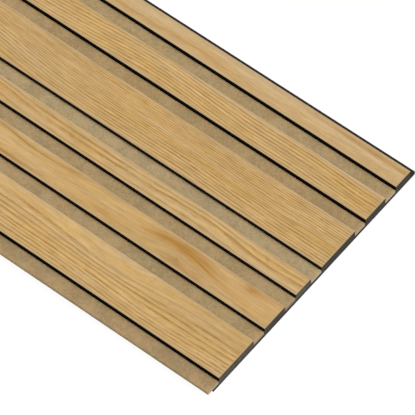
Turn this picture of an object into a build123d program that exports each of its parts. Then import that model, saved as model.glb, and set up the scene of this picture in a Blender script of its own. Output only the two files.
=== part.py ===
from build123d import *
import os

# A wall panel of oak faced slats in three widths, with strips of felt between them, on a thin
# black board. Millimetres. X runs along the slats, Y across them, Z up from the underside.
# The origin is at the middle of the underside, seen as one rectangle with the lap edges.

# Length that the panel is cut to
panel_length = 2400.0

# Slats come in three widths, and a groove follows each of them
narrow_slat = 22.0
medium_slat = 30.0
wide_slat = 50.0
groove_width = 16.0

# Backing board that carries everything. Its lip goes under the next panel's felt.
board_thickness = 4.5
lip_width = 7.5
lip_play = 0.2
lip_chamfer = 0.3

# Slat core and its oak face
core_thickness = 8.1
oak_thickness = 0.6
oak_arris = 0.25

# Felt laid in the grooves
felt_thickness = 4.0
felt_side_gap = 0.5
felt_edge_radius = 0.6

# From the lip edge (+Y) to the felt edge (-Y)
slat_widths = [narrow_slat, medium_slat, wide_slat] * 2

cover_width = sum(slat_widths) + groove_width * len(slat_widths)
overall_width = cover_width + lip_width
lip_edge_y = overall_width / 2
first_slat_y = lip_edge_y - lip_width
felt_edge_y = first_slat_y - cover_width
board_edge_y = felt_edge_y + lip_width + lip_play
board_top = board_thickness
core_top = board_top + core_thickness


def bar(y_low, y_high, z_low, z_high):
    """A straight bar over the whole length, between two places across and two heights."""
    depth = y_high - y_low
    height = z_high - z_low
    middle = (0, (y_low + y_high) / 2, (z_low + z_high) / 2)
    return Pos(*middle) * Box(panel_length, depth, height)


def long_top_edges(solid):
    """The highest of the edges that run along X, from -Y to +Y."""
    return solid.edges().filter_by(Axis.X).group_by(Axis.Z)[-1].sort_by(Axis.Y)


def make_board():
    """The backing board, whose +Y edge is the lip. It stops short of the last felt strip's edge."""
    board = bar(board_edge_y, lip_edge_y, 0, board_top)
    lip_corner = long_top_edges(board)[-1]
    return chamfer(lip_corner, lip_chamfer)


def make_core(y_low, y_high):
    """The black core of one slat, standing on the board."""
    return bar(y_low, y_high, board_top, core_top)


def make_oak(y_low, y_high):
    """The oak face of one slat, with both long top edges eased."""
    oak = bar(y_low, y_high, core_top, core_top + oak_thickness)
    return chamfer(long_top_edges(oak), oak_arris)


def make_felt(y_low, y_high):
    """One strip of felt on the board, with soft long top edges."""
    felt = bar(y_low, y_high, board_top, board_top + felt_thickness)
    return fillet(long_top_edges(felt), felt_edge_radius)


def make_parts():
    """Every piece by name, slat by slat from the lip edge."""
    parts = {"backing_board": make_board()}
    y_far = first_slat_y
    for number, width in enumerate(slat_widths, start=1):
        y_near = y_far - width
        groove_near = y_near - groove_width
        last = number == len(slat_widths)
        felt_near = groove_near if last else groove_near + felt_side_gap
        parts[f"slat_core_{number}"] = make_core(y_near, y_far)
        parts[f"oak_face_{number}"] = make_oak(y_near, y_far)
        parts[f"felt_strip_{number}"] = make_felt(felt_near, y_near - felt_side_gap)
        y_far = groove_near
    return parts


os.makedirs("parts", exist_ok=True)
for name, solid in make_parts().items():
    solid.label = name
    export_step(solid, f"parts/{name}.step")
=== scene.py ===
import math

import bpy
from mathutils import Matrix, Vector, noise


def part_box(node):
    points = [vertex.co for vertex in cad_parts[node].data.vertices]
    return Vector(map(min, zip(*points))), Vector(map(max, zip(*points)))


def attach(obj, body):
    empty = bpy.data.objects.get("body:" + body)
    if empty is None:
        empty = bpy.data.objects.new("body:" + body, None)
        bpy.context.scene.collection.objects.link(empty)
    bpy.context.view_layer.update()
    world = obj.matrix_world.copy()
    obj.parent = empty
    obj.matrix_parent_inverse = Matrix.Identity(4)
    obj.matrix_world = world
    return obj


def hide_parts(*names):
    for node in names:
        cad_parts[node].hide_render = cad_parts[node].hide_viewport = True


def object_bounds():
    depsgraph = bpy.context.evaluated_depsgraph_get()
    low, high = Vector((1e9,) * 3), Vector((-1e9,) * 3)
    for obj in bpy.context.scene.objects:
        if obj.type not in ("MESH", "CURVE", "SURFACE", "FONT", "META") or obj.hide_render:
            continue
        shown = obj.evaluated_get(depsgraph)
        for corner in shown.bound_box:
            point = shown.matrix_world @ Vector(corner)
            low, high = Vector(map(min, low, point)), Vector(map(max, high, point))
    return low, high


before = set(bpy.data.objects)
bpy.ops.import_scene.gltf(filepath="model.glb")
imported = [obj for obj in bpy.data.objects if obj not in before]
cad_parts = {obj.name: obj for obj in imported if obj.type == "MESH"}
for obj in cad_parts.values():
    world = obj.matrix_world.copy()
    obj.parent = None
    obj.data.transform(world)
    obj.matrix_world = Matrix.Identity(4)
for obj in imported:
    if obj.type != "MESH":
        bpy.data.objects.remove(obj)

# An oak faced acoustic slat panel, lying flat with its faces up. Metres. X runs along the
# slats, Y across them towards the lip, Z up. The end that the camera sees is at +X.

MM = 0.001
cad_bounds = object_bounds()

SLATS = range(1, 7)
PANEL_LOW, PANEL_HIGH = (Vector(corner) for corner in cad_bounds)
CUT_END_X = PANEL_HIGH.x

# Felt: how far it swells to each side, how far its top rises in the middle, how its long edges
# and its cut ends are rounded, how far its faces waver, and its number of steps along the panel
FELT_SWELL = 0.12 * MM
FELT_CROWN = 0.12 * MM
FELT_ROUNDING = 0.5 * MM
FELT_END_ROUNDING = 0.12 * MM
FELT_WAVER = 0.12 * MM
FELT_STEPS = 600

# How many millimetres each strip lies off the middle of its groove, towards the lip. The sixth
# keeps its outer edge, and only the side towards its slat moves.
FELT_SHIFTS = {1: -0.30, 2: -0.30, 3: 0.25, 4: 0.0, 5: -0.05, 6: -0.30}

# Camera: a long lens from the near right, aimed at a point on the faces near the cut end
CAMERA_AZIMUTH = 38.33
CAMERA_ELEVATION = 56.2
CAMERA_DISTANCE = 4.0689
CAMERA_LENS = 386.36
CAMERA_SENSOR = 36.0
AIM = Vector((CUT_END_X - 0.12145, -0.00090, 0.01330))

# Light: an even sky and one soft lamp from the cut end's side
SKY_STRENGTH = 0.55
LAMP_STRENGTH = 1.9
LAMP_AZIMUTH = 104.0
LAMP_ELEVATION = 46.0
LAMP_SPREAD = 30.0

# Floor: its size, how far it lies below the panel, its colour for the light that it throws back,
# and the faint colour and the glow that make it look white
FLOOR_SIZE = 14.0
FLOOR_DROP = 0.05 * MM
FLOOR_COLOR = (0.80, 0.80, 0.79)
FLOOR_SEEN_COLOR = (0.08, 0.08, 0.08)
FLOOR_GLOW = 0.934
WHITE = (1.0, 1.0, 1.0, 1.0)

# Finishes, as linear colours
OAK_PALE = (0.680, 0.458, 0.204)
OAK_CREAM = (0.720, 0.545, 0.340)
OAK_HONEY = (0.565, 0.350, 0.116)
OAK_LINE = (0.350, 0.172, 0.032)
OAK_STREAK = (0.430, 0.205, 0.036)
# Pale streaks share a colour with the painted highlight on the eased arris; the next is the painted
# highlight along the edges
STREAK_AND_HIGHLIGHT_CREAM = (0.700, 0.530, 0.310)
OAK_PAINTED_HIGHLIGHT = (0.500, 0.375, 0.225)
OAK_END_GRAIN = (0.095, 0.060, 0.026)
OAK_COOL_TINT = (0.985, 1.005, 1.09)
OAK_WARM_TINT = (1.020, 0.993, 0.90)
FELT_COOL_TINT = (0.965, 1.005, 1.080)
FELT_WARM_TINT = (1.038, 0.993, 0.930)
FELT_LIGHT = (0.490, 0.332, 0.159)
FELT_DARK = (0.366, 0.250, 0.117)
FELT_FIBRE = (0.560, 0.430, 0.250)
FELT_CUT = (0.400, 0.345, 0.265)
BOARD_LIGHT = (0.030, 0.027, 0.024)
BOARD_DARK = (0.014, 0.012, 0.010)
BOARD_FACE_TINT = (0.92, 0.72, 0.48)
CORE_WARM = (0.050, 0.034, 0.010)
CORE_GREY = (0.036, 0.0355, 0.033)
LACQUER = (0.0020, 0.0012, 0.0010)
LACQUER_WORN = (0.0040, 0.0028, 0.0022)

# How pale each slat core's cut end is at its foot and at its top
CORE_END_TONES = {
    1: (1.0, 1.0),
    2: (1.0, 0.95),
    3: (1.0, 0.95),
    4: (2.0, 1.55),
    5: (1.1, 1.25),
    6: (2.0, 1.55),
}

# How pale and grey each felt strip is, as a tint over the felt's colours
FELT_STRIP_TINTS = {
    1: (1.029, 1.057, 1.052),
    2: (1.013, 1.007, 0.966),
    3: (1.061, 1.131, 1.215),
    4: (0.997, 1.015, 1.013),
    5: (1.010, 1.020, 1.010),
    6: (0.952, 0.952, 0.960),
}

# How pale each felt strip's cut end is
FELT_CUT_TONES = {1: 0.95, 2: 0.97, 3: 0.97, 4: 0.30, 5: 0.55, 6: 0.98}

# Painted light: how wide a band along the felt's edge away from the lip is painted paler, against
# the shade of the slat wall beside it, and how much paler
FELT_PAINTED_LIGHT_WIDTH = 7.0 * MM
FELT_PAINTED_LIGHT_EDGE = 1.07

# How pale the board's cut end is under each slat, and in the grooves between them
BOARD_END_TONES = {1: 0.85, 2: 0.85, 3: 0.85, 4: 1.25, 5: 0.85, 6: 1.35}
BOARD_END_GROOVE_TONE = 0.30

# The figure of each slat's oak. Side and depth say where the heart of the log lay: how far from
# the slat's middle line, towards the lip, and how far below the face. Ring is a year's growth,
# and start is where the first dark line falls. Rough is how far the rings waver, bold how dark
# their lines are, even how little they break up, and soft how blurred they are. Tone is how pale
# the wood is between them.
OAK_FIGURES = {
    1: dict(
        side=0.004, depth=0.060, ring=0.0060, start=0.3,
        rough=0.5, bold=0.42, even=0.3, soft=1.0, tone=0.60,
    ),
    2: dict(
        side=0.050, depth=0.040, ring=0.0026, start=0.1,
        rough=1.0, bold=1.04, even=0.55, soft=0.45, tone=0.15,
    ),
    3: dict(
        side=-0.050, depth=0.040, ring=0.0020, start=0.0,
        rough=0.9, bold=1.12, even=0.35, soft=0.3, tone=0.08,
    ),
    4: dict(
        side=0.070, depth=0.020, ring=0.0058, start=0.61,
        rough=0.2, bold=0.98, even=0.65, soft=0.6, tone=-0.25,
    ),
    5: dict(
        side=0.001, depth=0.060, ring=0.0032, start=0.0,
        rough=0.5, bold=0.36, even=0.3, soft=0.7, tone=-0.15,
    ),
    6: dict(
        side=0.024, depth=0.040, ring=0.0025, start=0.82,
        rough=0.6, bold=0.88, even=0.4, soft=0.5, tone=0.25,
    ),
}

# How far the wood is bleached towards cream, on the slats where it is
OAK_CREAMINESS = {1: 0.20, 4: 0.03, 5: 0.06}

# How far across the growth rings waver, ripple, and sweep where the grain is free
OAK_WAVER = 6.0 * MM
OAK_RIPPLE = 2.0 * MM
OAK_SWEEP = 45.0 * MM

# Painted highlight along the oak's eased edges: widths from the slat's long edges and its cut ends
OAK_HIGHLIGHT_SIDE_WIDTH = 5.0 * MM
OAK_HIGHLIGHT_END_WIDTH = 2.4 * MM
OAK_ARRIS_HIGHLIGHT_WIDTH = 0.9 * MM

# Between these distances from the cut end the grain turns from the figures above to a freer one
FREE_GRAIN_START = 0.42
FREE_GRAIN_END = 0.95

# Where the grain bows: distance from the cut end, distance from the slat's middle line towards
# the lip, half length, half width and lift
OAK_BOWS = {
    1: [(0.240, -0.003, 0.050, 0.014, 0.005)],
    2: [
        (0.400, 0.000, 0.060, 0.040, -0.004),
        (0.250, 0.000, 0.070, 0.040, 0.005),
        (0.085, 0.000, 0.045, 0.040, 0.002),
    ],
    3: [(0.430, -0.004, 0.080, 0.030, 0.012), (0.170, -0.016, 0.060, 0.022, 0.0025)],
    4: [
        (0.360, 0.002, 0.030, 0.012, 0.0040),
        (0.245, -0.003, 0.050, 0.010, -0.0013),
        (0.120, 0.003, 0.040, 0.009, 0.0030),
        (0.035, -0.005, 0.040, 0.009, -0.0035),
    ],
    5: [(0.280, 0.012, 0.045, 0.012, -0.007), (0.110, 0.004, 0.040, 0.013, 0.008)],
    6: [(0.150, 0.016, 0.060, 0.016, -0.010), (0.090, -0.016, 0.070, 0.012, -0.004)],
}

# Brown stains that follow the grain, given in the same way, with a strength instead of a lift.
# The distance from the middle line is the one that the stain would have if the grain didn't bow.
OAK_STAINS = {
    1: [
        (0.260, -0.0070, 0.080, 0.0045, 0.38),
        (0.040, 0.0068, 0.080, 0.0024, 0.50),
        (0.060, -0.0085, 0.160, 0.0045, 0.28),
        (0.110, 0.0105, 0.030, 0.0014, 0.25),
        (0.332, -0.0052, 0.022, 0.0020, 0.35),
        (0.030, 0.0042, 0.040, 0.0018, 0.16),
    ],
    3: [
        (0.300, 0.0170, 0.100, 0.0060, 0.20),
        (0.205, 0.0080, 0.045, 0.0050, 0.10),
        (0.130, 0.0140, 0.090, 0.0070, 0.20),
        (0.080, -0.0235, 0.060, 0.0016, 0.45),
    ],
    5: [
        (0.108, 0.0010, 0.042, 0.0066, 1.00),
        (0.122, 0.0009, 0.022, 0.0018, 0.60),
        (0.105, 0.0070, 0.026, 0.0011, 0.60),
        (0.092, -0.0030, 0.026, 0.0012, 0.65),
        (0.036, 0.0135, 0.006, 0.0008, 0.70),
        (0.034, 0.0105, 0.006, 0.0010, 0.70),
        (0.035, 0.0078, 0.006, 0.0010, 0.50),
        (0.032, 0.0100, 0.014, 0.0060, 0.28),
        (0.194, -0.0070, 0.018, 0.0030, 0.50),
        (0.185, -0.0020, 0.045, 0.0060, 0.14),
        (0.308, -0.0120, 0.030, 0.0018, 0.95),
        (0.093, -0.0132, 0.026, 0.0016, 0.55),
        (0.285, 0.0145, 0.075, 0.0011, 0.60),
        (0.020, 0.0000, 0.060, 0.0200, 0.28),
        (0.285, -0.0060, 0.065, 0.0042, 0.20),
        (0.030, -0.0060, 0.050, 0.0012, 0.20),
    ],
    6: [
        (0.250, 0.0170, 0.020, 0.0018, 0.35),
        (0.240, 0.0088, 0.030, 0.0040, 0.10),
        (0.240, -0.0060, 0.060, 0.0140, 0.10),
        (0.220, -0.0130, 0.050, 0.0040, 0.12),
    ],
}

# Where the growth rings fade into plain wood, given as the stains are
OAK_CALMS = {
    3: [
        (0.220, 0.0100, 0.100, 0.0080, 0.50),
        (0.020, 0.0000, 0.060, 0.0060, 0.25),
        (0.360, 0.0160, 0.060, 0.0060, 0.30),
    ],
    4: [(0.290, 0.0095, 0.080, 0.0022, 0.90)],
    6: [(0.050, 0.0150, 0.100, 0.0060, 0.38), (0.330, 0.0150, 0.060, 0.0060, 0.50)],
}

# Pale streaks, given as the stains are
OAK_LIGHTS = {
    1: [
        (0.270, -0.0005, 0.050, 0.0028, 0.30),
        (0.300, 0.0012, 0.028, 0.0028, 0.25),
        (0.262, 0.0040, 0.030, 0.0024, 0.16),
        (0.188, 0.0010, 0.026, 0.0028, 0.34),
        (0.160, 0.0057, 0.030, 0.0020, 0.30),
        (0.110, 0.0040, 0.060, 0.0022, 0.45),
        (0.030, 0.0015, 0.050, 0.0018, 0.35),
    ],
    2: [(0.090, 0.0126, 0.110, 0.0022, 0.45)],
    3: [
        (0.340, -0.0165, 0.075, 0.0090, 0.24),
        (0.340, 0.0075, 0.060, 0.0018, 0.40),
        (0.320, 0.0010, 0.060, 0.0028, 0.26),
        (0.180, 0.0030, 0.090, 0.0014, 0.30),
        (0.050, 0.0005, 0.060, 0.0012, 0.35),
    ],
    6: [(0.075, 0.0145, 0.060, 0.0036, 0.28)],
}


class Net:
    """Places and joins shader nodes in one tree."""

    def __init__(self, tree):
        self.tree = tree
        self.count = 0

    def node(self, kind, inputs=None, **settings):
        """A new node with its settings, and its inputs by name."""
        made = self.tree.nodes.new(kind)
        made.location = (220 * (self.count % 12), -260 * (self.count // 12))
        self.count += 1
        for name, value in settings.items():
            setattr(made, name, value)
        for name, value in (inputs or {}).items():
            self.put(made.inputs[name], value)
        return made

    def put(self, socket, value):
        """Gives an input a value, or joins it to another node's output."""
        if isinstance(value, bpy.types.NodeSocket):
            self.tree.links.new(value, socket)
        else:
            socket.default_value = value

    def math(self, operation, first, second=None, third=None):
        """One step of arithmetic."""
        made = self.node("ShaderNodeMath", operation=operation)
        for index, value in enumerate((first, second, third)):
            if value is not None:
                self.put(made.inputs[index], value)
        return made.outputs[0]

    def ramp(self, value, low, high, out_low=0.0, out_high=1.0, smooth=True):
        """Takes a value from one range to another, clamped."""
        made = self.node("ShaderNodeMapRange", clamp=True)
        made.interpolation_type = "SMOOTHSTEP" if smooth else "LINEAR"
        for index, number in enumerate((value, low, high, out_low, out_high)):
            self.put(made.inputs[index], number)
        return made.outputs[0]

    def mix(self, factor, first, second, blend="MIX"):
        """Mixes two colours."""
        made = self.node("ShaderNodeMix", data_type="RGBA", blend_type=blend, clamp_factor=True)
        values = {"Factor_Float": factor, "A_Color": first, "B_Color": second}
        for name, value in values.items():
            socket = next(s for s in made.inputs if s.identifier == name)
            if isinstance(value, tuple) and len(value) == 3:
                value = (*value, 1.0)
            self.put(socket, value)
        return next(s for s in made.outputs if s.identifier == "Result_Color")

    def tinted(self, color, tint):
        """A colour times another colour."""
        return self.mix(1.0, color, tint, blend="MULTIPLY")

    def shaded(self, color, value):
        """A colour times a value, which makes it paler or darker."""
        return self.tinted(color, self.join(value, value, value))

    def split(self, vector):
        """The three parts of a vector."""
        made = self.node("ShaderNodeSeparateXYZ", {"Vector": vector})
        return made.outputs["X"], made.outputs["Y"], made.outputs["Z"]

    def join(self, x, y, z):
        """A vector from its three parts."""
        made = self.node("ShaderNodeCombineXYZ", {"X": x, "Y": y, "Z": z})
        return made.outputs["Vector"]

    def noise(self, vector, scale=1.0, detail=2.0, roughness=0.5, distortion=0.0):
        """A noise from nought to one, with so many cells a metre."""
        inputs = {
            "Vector": vector,
            "Scale": scale,
            "Detail": detail,
            "Roughness": roughness,
            "Distortion": distortion,
        }
        return self.node("ShaderNodeTexNoise", inputs).outputs["Fac"]


def begin_group(name, inputs, outputs):
    """A new shader group and a net in it, with its input sockets by name and its output node."""
    group = bpy.data.node_groups.new(name, "ShaderNodeTree")
    for title, kind, default in inputs:
        socket = group.interface.new_socket(name=title, in_out="INPUT", socket_type=kind)
        if default is not None:
            socket.default_value = default
    for title, kind in outputs:
        group.interface.new_socket(name=title, in_out="OUTPUT", socket_type=kind)
    net = Net(group)
    given = net.node("NodeGroupInput")
    result = net.node("NodeGroupOutput")
    return group, net, given.outputs, result


def stretched(net, vector, along, across, up, seed):
    """The place in the piece, stretched to so many cells a metre each way and moved by a seed."""
    x, y, z = net.split(vector)
    shift = net.math("MULTIPLY", seed, 7.31)
    moved = net.math("MULTIPLY_ADD", x, along, shift)
    return net.join(moved, net.math("MULTIPLY_ADD", y, across, shift), net.math("MULTIPLY", z, up))


def make_patch_group():
    """A smooth hill, one in the middle of a long patch of the face and nothing far from it."""
    inputs = [
        ("Vector", "NodeSocketVector", None),
        ("Along", "NodeSocketFloat", 0.0),
        ("Across", "NodeSocketFloat", 0.0),
        ("Half Length", "NodeSocketFloat", 0.05),
        ("Half Width", "NodeSocketFloat", 0.01),
    ]
    outputs = [("Hill", "NodeSocketFloat")]
    group, net, given, result = begin_group("long_patch", inputs, outputs)
    x, y, _ = net.split(given["Vector"])
    along = net.math("DIVIDE", net.math("SUBTRACT", x, given["Along"]), given["Half Length"])
    across = net.math("DIVIDE", net.math("SUBTRACT", y, given["Across"]), given["Half Width"])
    reach = net.math("MULTIPLY_ADD", along, along, net.math("MULTIPLY", across, across))
    net.put(result.inputs["Hill"], net.math("EXPONENT", net.math("MULTIPLY", reach, -1.0)))
    return group


def make_oak_group():
    """Oak cut along the trunk: growth rings, pores, fibres and broad tone."""
    inputs = [
        ("Vector", "NodeSocketVector", None),
        ("Bow", "NodeSocketFloat", 0.0),
        ("Seed", "NodeSocketFloat", 0.0),
        ("Heart Side", "NodeSocketFloat", 0.05),
        ("Heart Depth", "NodeSocketFloat", 0.03),
        ("Ring Width", "NodeSocketFloat", 0.003),
        ("Ring Start", "NodeSocketFloat", 0.0),
        ("Ring Waver", "NodeSocketFloat", 1.0),
        ("Wildness", "NodeSocketFloat", 0.0),
        ("Boldness", "NodeSocketFloat", 0.8),
        ("Evenness", "NodeSocketFloat", 0.5),
        ("Softness", "NodeSocketFloat", 0.2),
        ("Tone", "NodeSocketFloat", 0.0),
    ]
    outputs = [
        ("Color", "NodeSocketColor"),
        ("Dullness", "NodeSocketFloat"),
        ("Height", "NodeSocketFloat"),
    ]
    group, net, given, result = begin_group("oak_along_the_grain", inputs, outputs)
    place, seed = given["Vector"], given["Seed"]
    x, y, z = net.split(place)

    def grain_noise(at, along, across, up=0.0, detail=2.0, roughness=0.5):
        """A noise drawn out along the slat, with so many cells a metre each way."""
        return net.noise(stretched(net, at, along, across, up, seed), 1.0, detail, roughness)

    # Distance from the heart of the log, whose line wavers along the slat
    waver = grain_noise(place, along=5.0, across=9.0)
    ripple = grain_noise(place, along=34.0, across=130.0, detail=3.0, roughness=0.6)
    sweep = grain_noise(place, along=2.6, across=11.0, detail=1.0)
    waver_size = net.math("MULTIPLY", given["Ring Waver"], OAK_WAVER)
    sweep_size = net.math("MULTIPLY", given["Wildness"], OAK_SWEEP)
    drift = net.math("MULTIPLY", net.math("SUBTRACT", waver, 0.5), waver_size)
    drift = net.math("MULTIPLY_ADD", net.math("SUBTRACT", ripple, 0.5), OAK_RIPPLE, drift)
    drift = net.math("MULTIPLY_ADD", net.math("SUBTRACT", sweep, 0.5), sweep_size, drift)
    level = net.math("ADD", y, net.math("ADD", drift, given["Bow"]))
    across = net.math("SUBTRACT", level, given["Heart Side"])
    depth = given["Heart Depth"]
    depth_squared = net.math("MULTIPLY", depth, depth)
    radius = net.math("SQRT", net.math("MULTIPLY_ADD", across, across, depth_squared))
    in_grain = net.join(x, level, z)

    # Growth rings, uneven in width, each dark at its start and fading out
    uneven = net.noise(net.join(net.math("MULTIPLY", radius, 160.0), seed, 0.0), detail=1.0)
    uneven = net.math("MULTIPLY_ADD", net.math("SUBTRACT", uneven, 0.5), 1.2, given["Ring Start"])
    turns = net.math("ADD", net.math("DIVIDE", radius, given["Ring Width"]), uneven)
    part = net.math("FRACT", turns)
    soft = given["Softness"]
    start = net.ramp(part, 0.0, net.math("MULTIPLY_ADD", soft, 0.25, 0.12))
    line = net.ramp(part, 0.12, net.math("MULTIPLY_ADD", soft, 0.25, 0.50), 0.7, 0.0)
    shade = net.ramp(part, 0.30, 0.95, 0.3, 0.0)
    ring = net.math("MULTIPLY", start, net.math("ADD", line, shade))

    # The rings are stronger in some places than in others, less so where the wood is even
    strength = grain_noise(in_grain, along=30.0, across=260.0, detail=4.0, roughness=0.72)
    strength = net.ramp(strength, 0.33, 0.61, 0.12, 1.20)
    missing = net.math("SUBTRACT", 0.75, strength)
    strength = net.math("MULTIPLY_ADD", missing, given["Evenness"], strength)
    ring = net.math("MULTIPLY", net.math("MULTIPLY", ring, strength), given["Boldness"])

    # Pores are short dark dashes, most of them where a ring starts
    crowd = net.math("MULTIPLY_ADD", ring, -0.20, 0.67)
    pore = grain_noise(in_grain, along=110.0, across=1500.0, detail=1.0)
    pore = net.ramp(pore, crowd, net.math("ADD", crowd, 0.08))

    # Plain wood between the rings, in a broad tone and a cooler or warmer tint
    broad = grain_noise(in_grain, along=4.0, across=45.0, detail=3.0)
    tone = net.math("MULTIPLY_ADD", given["Tone"], 0.25, broad)
    wood = net.mix(net.ramp(tone, 0.28, 0.66, 0.15, 0.88), OAK_HONEY, OAK_PALE)
    warmth = net.ramp(grain_noise(in_grain, along=9.0, across=70.0), 0.32, 0.68)
    wood = net.tinted(wood, net.mix(warmth, OAK_COOL_TINT, OAK_WARM_TINT))
    lined = net.mix(net.math("MULTIPLY", ring, 0.95), wood, OAK_LINE)

    # Fibres, streaks and flecks make it paler and darker, and the pores lie over them
    fibre = grain_noise(in_grain, along=24.0, across=1000.0, up=300.0, detail=3.0, roughness=0.6)
    streak = grain_noise(in_grain, along=9.0, across=420.0, detail=3.0, roughness=0.7)
    fleck = grain_noise(in_grain, along=45.0, across=400.0, roughness=0.6)
    light = net.ramp(fibre, 0.25, 0.75, 0.42, 0.565, smooth=False)
    light = net.math("ADD", light, net.ramp(streak, 0.28, 0.72, 0.38, 0.60, smooth=False))
    light = net.math("ADD", light, net.ramp(fleck, 0.30, 0.70, -0.135, 0.135, smooth=False))
    color = net.mix(net.math("MULTIPLY", pore, 0.65), net.shaded(lined, light), OAK_LINE)
    net.put(result.inputs["Color"], color)

    dull = net.ramp(fibre, 0.2, 0.8, 0.50, 0.62, smooth=False)
    net.put(result.inputs["Dullness"], net.math("MULTIPLY_ADD", pore, 0.15, dull))
    height = net.math("MULTIPLY_ADD", fibre, 0.35, net.math("MULTIPLY", ring, -0.25))
    net.put(result.inputs["Height"], net.math("MULTIPLY_ADD", pore, -0.9, height))
    return group


def make_speckle_group():
    """Small specks and fibres of pressed board, as a value about one half and a height."""
    inputs = [("Vector", "NodeSocketVector", None), ("Cells", "NodeSocketFloat", 900.0)]
    outputs = [("Value", "NodeSocketFloat"), ("Height", "NodeSocketFloat")]
    group, net, given, result = begin_group("pressed_fibre", inputs, outputs)
    place, cells = given["Vector"], given["Cells"]
    fine = net.noise(place, scale=cells, detail=3.0, roughness=0.65)
    coarse = net.noise(place, scale=net.math("MULTIPLY", cells, 0.12), detail=2.0)
    value = net.math("ADD", net.math("MULTIPLY", fine, 0.65), net.math("MULTIPLY", coarse, 0.35))
    net.put(result.inputs["Value"], value)
    net.put(result.inputs["Height"], fine)
    return group


def make_felt_group():
    """Needled felt: soft mottling and a tangle of fine fibres."""
    inputs = [("Vector", "NodeSocketVector", None), ("Seed", "NodeSocketFloat", 0.0)]
    outputs = [("Color", "NodeSocketColor"), ("Height", "NodeSocketFloat")]
    group, net, given, result = begin_group("needled_felt", inputs, outputs)
    place = stretched(net, given["Vector"], 1.0, 1.0, 1.0, given["Seed"])
    blotch = net.noise(place, scale=55.0, detail=3.0, roughness=0.55)
    mottle = net.noise(place, scale=420.0, detail=3.0, roughness=0.6)
    body = net.math("ADD", net.math("MULTIPLY", blotch, 0.45), net.math("MULTIPLY", mottle, 0.55))
    color = net.mix(net.ramp(body, 0.38, 0.62), FELT_DARK, FELT_LIGHT)
    hue = net.ramp(net.noise(place, scale=170.0, detail=2.0, roughness=0.6), 0.34, 0.66)
    color = net.tinted(color, net.mix(hue, FELT_COOL_TINT, FELT_WARM_TINT))
    tangle = fibre_lines(net, place, 260.0, 3.0)
    for scale, distortion in ((410.0, 2.2), (640.0, 1.6)):
        tangle = net.math("MAXIMUM", tangle, fibre_lines(net, place, scale, distortion))
    color = net.mix(net.math("MULTIPLY", tangle, 0.22), color, FELT_FIBRE)
    net.put(result.inputs["Color"], color)
    height = net.math("ADD", net.math("MULTIPLY", mottle, 0.5), net.math("MULTIPLY", tangle, 0.5))
    net.put(result.inputs["Height"], height)
    return group


def fibre_lines(net, place, scale, distortion):
    """Thin winding lines where a noise crosses its middle."""
    field = net.noise(place, scale=scale, detail=1.0, distortion=distortion)
    off_middle = net.math("ABSOLUTE", net.math("SUBTRACT", field, 0.5))
    return net.ramp(off_middle, 0.0, 0.022, 1.0, 0.0)


def fresh_net(owner):
    """A net in the emptied node tree of a material or a world."""
    owner.use_nodes = True
    owner.node_tree.nodes.clear()
    return Net(owner.node_tree)


def new_material(name):
    """A material with a Principled shader, its net, the shader and the object's own place."""
    material = bpy.data.materials.new(name)
    net = fresh_net(material)
    output = net.node("ShaderNodeOutputMaterial")
    shader = net.node("ShaderNodeBsdfPrincipled")
    net.put(output.inputs["Surface"], shader.outputs["BSDF"])
    place = net.node("ShaderNodeTexCoord").outputs["Object"]
    return material, net, shader, place


def bump(net, shader, height, strength, distance):
    """Gives a shader a fine relief."""
    inputs = {"Height": height, "Strength": strength, "Distance": distance}
    net.put(shader.inputs["Normal"], net.node("ShaderNodeBump", inputs).outputs["Normal"])


def placed_patch(net, patch_group, place, number, patch):
    """A long patch on one slat, given as back from the cut end and across from its middle line."""
    back, across, half_length, half_width = patch[:4]
    inputs = {
        "Vector": place,
        "Along": CUT_END_X - back,
        "Across": slat_middle(number) + across,
        "Half Length": half_length,
        "Half Width": half_width,
    }
    return net.node("ShaderNodeGroup", inputs, node_tree=patch_group).outputs["Hill"]


def patch_sum(net, patch_group, place, number, patches):
    """The hills of several patches on one slat, each as high as its last number, added up."""
    total = 0.0
    for patch in patches:
        hill = placed_patch(net, patch_group, place, number, patch)
        total = net.math("MULTIPLY_ADD", hill, patch[4], total)
    return total


def slat_middle(number):
    """Where the middle line of a slat lies across the panel."""
    low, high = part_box(f"oak_face_{number}")
    return (low[1] + high[1]) / 2


def edge_mask(net, place, number, width):
    """One along the slat's two long edges, fading over a width."""
    low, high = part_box(f"oak_face_{number}")
    half = (high[1] - low[1]) / 2
    across = net.math("SUBTRACT", net.split(place)[1], slat_middle(number))
    return net.ramp(net.math("ABSOLUTE", across), half - width, half)


def facing(net, axis):
    """One on the upright faces that look along X or along Y, either way."""
    normal = net.node("ShaderNodeNewGeometry").outputs["True Normal"]
    part = net.split(normal)["XY".index(axis)]
    return net.ramp(net.math("ABSOLUTE", part), 0.75, 0.9)


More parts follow.
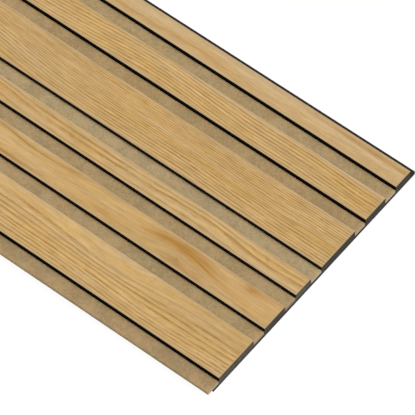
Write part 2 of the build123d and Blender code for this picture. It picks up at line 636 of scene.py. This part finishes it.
def oak_material(number, oak_group, patch_group):
    """The oiled oak face of one slat, with a figure of its own and a painted highlight along its
    eased edges.
    """
    figure = OAK_FIGURES[number]
    material, net, shader, place = new_material(f"oiled_oak_{number}")
    x, y, z = net.split(place)

    def patches(at, table):
        """What a table gives for this slat, as one value over the face."""
        return patch_sum(net, patch_group, at, number, table.get(number, []))

    # The marks bow with the grain, and their edges are ragged along it
    bow = net.math("MULTIPLY", patches(place, OAK_BOWS), -1.0)
    unbowed = net.join(x, net.math("ADD", y, bow), z)
    ragged = net.noise(stretched(net, unbowed, 40.0, 700.0, 0.0, float(number)), detail=3.0)
    ragged = net.ramp(ragged, 0.25, 0.60, 0.45, 1.0)
    stain = net.math("MULTIPLY", patches(unbowed, OAK_STAINS), ragged)
    streak = net.math("MULTIPLY", patches(unbowed, OAK_LIGHTS), ragged)
    shown = net.math("SUBTRACT", 1.0, patches(unbowed, OAK_CALMS))
    bold = net.math("MULTIPLY", figure["bold"], shown)

    inputs = {
        "Vector": place,
        "Bow": bow,
        "Seed": float(number),
        "Heart Side": slat_middle(number) + figure["side"],
        "Heart Depth": figure["depth"],
        "Ring Width": figure["ring"],
        "Ring Start": figure["start"],
        "Ring Waver": figure["rough"],
        "Wildness": net.ramp(x, CUT_END_X - FREE_GRAIN_END, CUT_END_X - FREE_GRAIN_START, 1.0, 0.0),
        "Boldness": net.math("ADD", stain, bold),
        "Evenness": figure["even"],
        "Softness": figure["soft"],
        "Tone": figure["tone"],
    }
    grain = net.node("ShaderNodeGroup", inputs, node_tree=oak_group)
    color = net.mix(OAK_CREAMINESS.get(number, 0.0), grain.outputs["Color"], OAK_CREAM)
    color = net.mix(streak, color, STREAK_AND_HIGHLIGHT_CREAM)
    color = net.mix(stain, color, OAK_STREAK)

    # Painted highlight towards the edges, palest on the eased arris, and end grain on the upright
    # faces
    from_middle = net.math("ABSOLUTE", x)
    end_highlight = net.ramp(from_middle, CUT_END_X - OAK_HIGHLIGHT_END_WIDTH, CUT_END_X, 0.0, 0.9)
    side_highlight = net.math("MULTIPLY", edge_mask(net, place, number, OAK_HIGHLIGHT_SIDE_WIDTH), 0.45)
    color = net.mix(net.math("MAXIMUM", side_highlight, end_highlight), color, OAK_PAINTED_HIGHLIGHT)
    arris_highlight = net.math("MULTIPLY", edge_mask(net, place, number, OAK_ARRIS_HIGHLIGHT_WIDTH), 0.40)
    color = net.mix(arris_highlight, color, STREAK_AND_HIGHLIGHT_CREAM)
    color = net.mix(facing(net, "X"), color, OAK_END_GRAIN)
    color = net.mix(net.math("MULTIPLY", facing(net, "Y"), 0.6), color, OAK_END_GRAIN)

    net.put(shader.inputs["Base Color"], color)
    net.put(shader.inputs["Roughness"], grain.outputs["Dullness"])
    shader.inputs["Specular IOR Level"].default_value = 0.25
    bump(net, shader, grain.outputs["Height"], strength=0.35, distance=0.12 * MM)
    return material


def board_material(speckle_group):
    """Black dyed fibreboard, as pressed and sawn."""
    material, net, shader, place = new_material("dyed_fibreboard")
    inputs = {"Vector": place, "Cells": 1300.0}
    specks = net.node("ShaderNodeGroup", inputs, node_tree=speckle_group)
    value = specks.outputs["Value"]
    color = net.mix(net.ramp(value, 0.36, 0.62), BOARD_DARK, BOARD_LIGHT)

    # The cut end is darkest in the grooves and has a tone of its own under each slat
    y = net.split(place)[1]
    tone = BOARD_END_GROOVE_TONE
    for number in SLATS:
        low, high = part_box(f"slat_core_{number}")
        under = net.math("COMPARE", y, slat_middle(number), (high[1] - low[1]) / 2)
        step = BOARD_END_TONES[number] - BOARD_END_GROOVE_TONE
        tone = net.math("MULTIPLY_ADD", under, step, tone)
    sawn = net.shaded(color, tone)

    is_end, is_side = facing(net, "X"), facing(net, "Y")
    is_face = net.math("SUBTRACT", 1.0, net.math("MAXIMUM", is_end, is_side))
    color = net.mix(is_face, color, net.tinted(color, BOARD_FACE_TINT))
    net.put(shader.inputs["Base Color"], net.mix(is_end, color, sawn))
    net.put(shader.inputs["Roughness"], net.ramp(value, 0.3, 0.7, 0.62, 0.80))
    shader.inputs["Specular IOR Level"].default_value = 0.2
    bump(net, shader, specks.outputs["Height"], strength=0.4, distance=0.1 * MM)
    return material


def core_material(number, speckle_group):
    """Dyed fibreboard on the sawn ends, warmer at the top, and black lacquer on the long sides."""
    material, net, shader, place = new_material(f"lacquered_core_{number}")
    inputs = {"Vector": place, "Cells": 1100.0}
    specks = net.node("ShaderNodeGroup", inputs, node_tree=speckle_group)
    value = specks.outputs["Value"]

    low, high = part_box(f"slat_core_{number}")
    height = net.ramp(net.split(place)[2], low[2], high[2])
    tone = net.ramp(height, 0.0, 1.0, *CORE_END_TONES[number])
    light = net.math("MULTIPLY", net.ramp(value, 0.34, 0.64, 0.6, 1.4), tone)
    sawn = net.shaded(net.mix(height, CORE_GREY, CORE_WARM), light)
    lacquer = net.mix(net.ramp(value, 0.55, 0.75), LACQUER, LACQUER_WORN)

    is_end = facing(net, "X")
    net.put(shader.inputs["Base Color"], net.mix(is_end, lacquer, sawn))
    side_roughness = net.ramp(value, 0.3, 0.7, 0.42, 0.55)
    net.put(shader.inputs["Roughness"], net.math("MULTIPLY_ADD", is_end, 0.25, side_roughness))
    shader.inputs["Specular IOR Level"].default_value = 0.1
    bump(net, shader, specks.outputs["Height"], strength=0.3, distance=0.08 * MM)
    return material


def felt_material(number, felt_group):
    """Khaki felt of one strip, with painted light along one edge, and paler where it is cut across.
    """
    material, net, shader, place = new_material(f"khaki_felt_{number}")
    inputs = {"Vector": place, "Seed": float(number)}
    felt = net.node("ShaderNodeGroup", inputs, node_tree=felt_group)
    color = net.tinted(felt.outputs["Color"], FELT_STRIP_TINTS[number])
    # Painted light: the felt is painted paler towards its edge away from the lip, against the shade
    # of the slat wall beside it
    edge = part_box(f"felt_strip_{number}")[0][1]
    painted_light = net.ramp(net.split(place)[1], edge, edge + FELT_PAINTED_LIGHT_WIDTH, FELT_PAINTED_LIGHT_EDGE, 1.0)
    color = net.shaded(color, painted_light)
    cut = tuple(part * FELT_CUT_TONES[number] for part in FELT_CUT)
    color = net.mix(net.math("MULTIPLY", facing(net, "X"), 0.8), color, cut)
    net.put(shader.inputs["Base Color"], color)
    shader.inputs["Roughness"].default_value = 0.95
    shader.inputs["Specular IOR Level"].default_value = 0.1
    shader.inputs["Sheen Weight"].default_value = 0.1
    shader.inputs["Sheen Roughness"].default_value = 0.6
    bump(net, shader, felt.outputs["Height"], strength=0.5, distance=0.3 * MM)
    return material


def felt_section(width, height, sink, pull_near, pull_far):
    """A strip's section, rounded at the top, as (across, up) from the middle of its underside."""
    near, far = -width / 2 + pull_near, width / 2 - pull_far
    shoulder = height - sink - FELT_CROWN
    curve = FELT_ROUNDING

    def rounded(edge, inwards, turns):
        """Points round one long edge, by how far they are turned from upright."""
        for turn in turns:
            swing = math.radians(turn)
            across = edge + inwards * curve * (1 - math.cos(swing))
            yield across, shoulder - curve * (1 - math.sin(swing))

    points = [(far, 0.0), (far, shoulder - curve)]
    points += rounded(far, -1, (30, 60, 90))
    for share in (0.3, 0.5, 0.7):
        rise = FELT_CROWN * math.sin(math.pi * share)
        points.append((far - curve - (far - near - 2 * curve) * share, shoulder + rise))
    points += rounded(near, 1, (90, 60, 30))
    points += [(near, shoulder - curve), (near, 0.0)]
    return points


def waver(x, lane, cells):
    """A smooth number from nought to one that changes along the panel."""
    return min(1.0, max(0.0, 0.5 + 0.8 * noise.noise(Vector((x * cells, lane, 0.5)))))


def add_object(name, data):
    """A new object in the scene."""
    made = bpy.data.objects.new(name, data)
    bpy.context.scene.collection.objects.link(made)
    return made


def felt_stations(low_x, high_x):
    """Places along a strip where its section is drawn, with two close together at each cut end."""
    along = [low_x + (high_x - low_x) * step / FELT_STEPS for step in range(FELT_STEPS + 1)]
    near_ends = low_x + FELT_END_ROUNDING, high_x - FELT_END_ROUNDING
    return [low_x, near_ends[0]] + along[1:-1] + [near_ends[1], high_x]


def make_felt_piece(number, material):
    """A felt strip with soft, uneven edges and a gently crowned top, laid in its groove."""
    low, high = (Vector(corner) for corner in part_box(f"felt_strip_{number}"))
    shift = FELT_SHIFTS[number] * MM
    high.y += FELT_SWELL + shift
    if number < len(SLATS):
        low.y -= FELT_SWELL - shift
    width, height = high.y - low.y, high.z - low.z
    middle = (low.y + high.y) / 2
    lane = 10.0 * number
    along = felt_stations(low.x, high.x)
    verts, faces = [], []
    for x in along:
        shrink = FELT_END_ROUNDING if x in (low.x, high.x) else 0.0
        sink = FELT_WAVER * waver(x, lane, 90.0) + shrink
        pulls = [FELT_WAVER * waver(x, lane + side, 130.0) + shrink for side in (1.3, 2.6)]
        for across, up in felt_section(width, height, sink, *pulls):
            verts.append((x, middle + across, low.z + up))
    ring = len(verts) // len(along)
    for station in range(len(along) - 1):
        for corner in range(ring):
            a = station * ring + corner
            b = station * ring + (corner + 1) % ring
            faces.append((a, b, b + ring, a + ring))
    faces.append(tuple(reversed(range(ring))))
    faces.append(tuple(range(len(verts) - ring, len(verts))))
    mesh = bpy.data.meshes.new(f"felt_infill_{number}")
    mesh.from_pydata(verts, [], faces)
    mesh.validate()
    for face in mesh.polygons:
        face.use_smooth = len(face.vertices) == 4
    mesh.materials.append(material)
    piece = add_object(f"felt_infill_{number}", mesh)
    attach(piece, "root")
    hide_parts(f"felt_strip_{number}")


def dress(node, material):
    """Gives a node of the frame its finish."""
    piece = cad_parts[node]
    piece.data.materials.clear()
    piece.data.materials.append(material)


def dress_panel():
    """Gives every piece of the panel its finish and lays the felt."""
    oak_group = make_oak_group()
    patch_group = make_patch_group()
    speckle_group = make_speckle_group()
    felt_group = make_felt_group()
    dress("backing_board", board_material(speckle_group))
    for number in SLATS:
        dress(f"slat_core_{number}", core_material(number, speckle_group))
        dress(f"oak_face_{number}", oak_material(number, oak_group, patch_group))
        make_felt_piece(number, felt_material(number, felt_group))


def direction(azimuth, elevation):
    """Unit vector towards a place seen from the panel. Azimuth 0 is -Y and 90 is +X."""
    turn, rise = math.radians(azimuth), math.radians(elevation)
    level = math.cos(rise)
    return Vector((math.sin(turn) * level, -math.cos(turn) * level, math.sin(rise)))


def place_camera():
    """A long lens above the cut end, with no shift and no roll."""
    camera = bpy.data.cameras.new("camera")
    camera.lens = CAMERA_LENS
    camera.sensor_width = CAMERA_SENSOR
    camera.clip_end = 100.0
    holder = add_object("camera", camera)
    look = direction(CAMERA_AZIMUTH, CAMERA_ELEVATION)
    holder.location = AIM + look * CAMERA_DISTANCE
    holder.rotation_euler = (-look).to_track_quat("-Z", "Y").to_euler()
    bpy.context.scene.camera = holder


def place_lamp():
    """One wide, soft lamp."""
    lamp = bpy.data.lights.new("soft_lamp", "SUN")
    lamp.energy = LAMP_STRENGTH
    lamp.angle = math.radians(LAMP_SPREAD)
    holder = add_object("soft_lamp", lamp)
    towards = direction(LAMP_AZIMUTH, LAMP_ELEVATION)
    holder.rotation_euler = (-towards).to_track_quat("-Z", "Y").to_euler()


def seen_directly(net):
    """One for rays of the camera, of gloss and of glass, which see the white background."""
    rays = net.node("ShaderNodeLightPath").outputs
    gloss_or_glass = net.math("MAXIMUM", rays["Is Glossy Ray"], rays["Is Transmission Ray"])
    return net.math("MAXIMUM", rays["Is Camera Ray"], gloss_or_glass)


def seen_or_lit(net, output, seen, lit):
    """Joins one shader for what is seen and one for the light that it gives to an output."""
    choice = net.node("ShaderNodeMixShader", {"Fac": seen_directly(net)})
    net.put(choice.inputs[1], lit.outputs[0])
    net.put(choice.inputs[2], seen.outputs[0])
    net.put(output.inputs["Surface"], choice.outputs[0])


def make_sky():
    """An even white sky, which is seen as plain white."""
    world = bpy.data.worlds.new("studio")
    net = fresh_net(world)
    output = net.node("ShaderNodeOutputWorld")
    seen = net.node("ShaderNodeBackground", {"Color": WHITE, "Strength": 1.0})
    lit = net.node("ShaderNodeBackground", {"Color": WHITE, "Strength": SKY_STRENGTH})
    seen_or_lit(net, output, seen, lit)
    bpy.context.scene.world = world


def make_floor():
    """A plain pale floor, which is seen as near white with the panel's shadow."""
    mesh = bpy.data.meshes.new("floor")
    half = FLOOR_SIZE / 2
    level = PANEL_LOW.z - FLOOR_DROP
    corners = [(x * half, y * half, level) for x, y in ((-1, -1), (1, -1), (1, 1), (-1, 1))]
    mesh.from_pydata(corners, [], [(0, 1, 2, 3)])
    floor = add_object("floor", mesh)
    material = bpy.data.materials.new("pale_floor")
    net = fresh_net(material)
    output = net.node("ShaderNodeOutputMaterial")
    matte = net.node("ShaderNodeBsdfDiffuse", {"Color": (*FLOOR_COLOR, 1.0)})
    faint = net.node("ShaderNodeBsdfDiffuse", {"Color": (*FLOOR_SEEN_COLOR, 1.0)})
    glow = net.node("ShaderNodeEmission", {"Color": WHITE, "Strength": FLOOR_GLOW})
    seen = net.node("ShaderNodeAddShader")
    net.put(seen.inputs[0], faint.outputs[0])
    net.put(seen.inputs[1], glow.outputs[0])
    seen_or_lit(net, output, seen, matte)
    mesh.materials.append(material)


dress_panel()
place_camera()
place_lamp()
make_sky()
make_floor()
bpy.context.scene.view_settings.view_transform = "Standard"
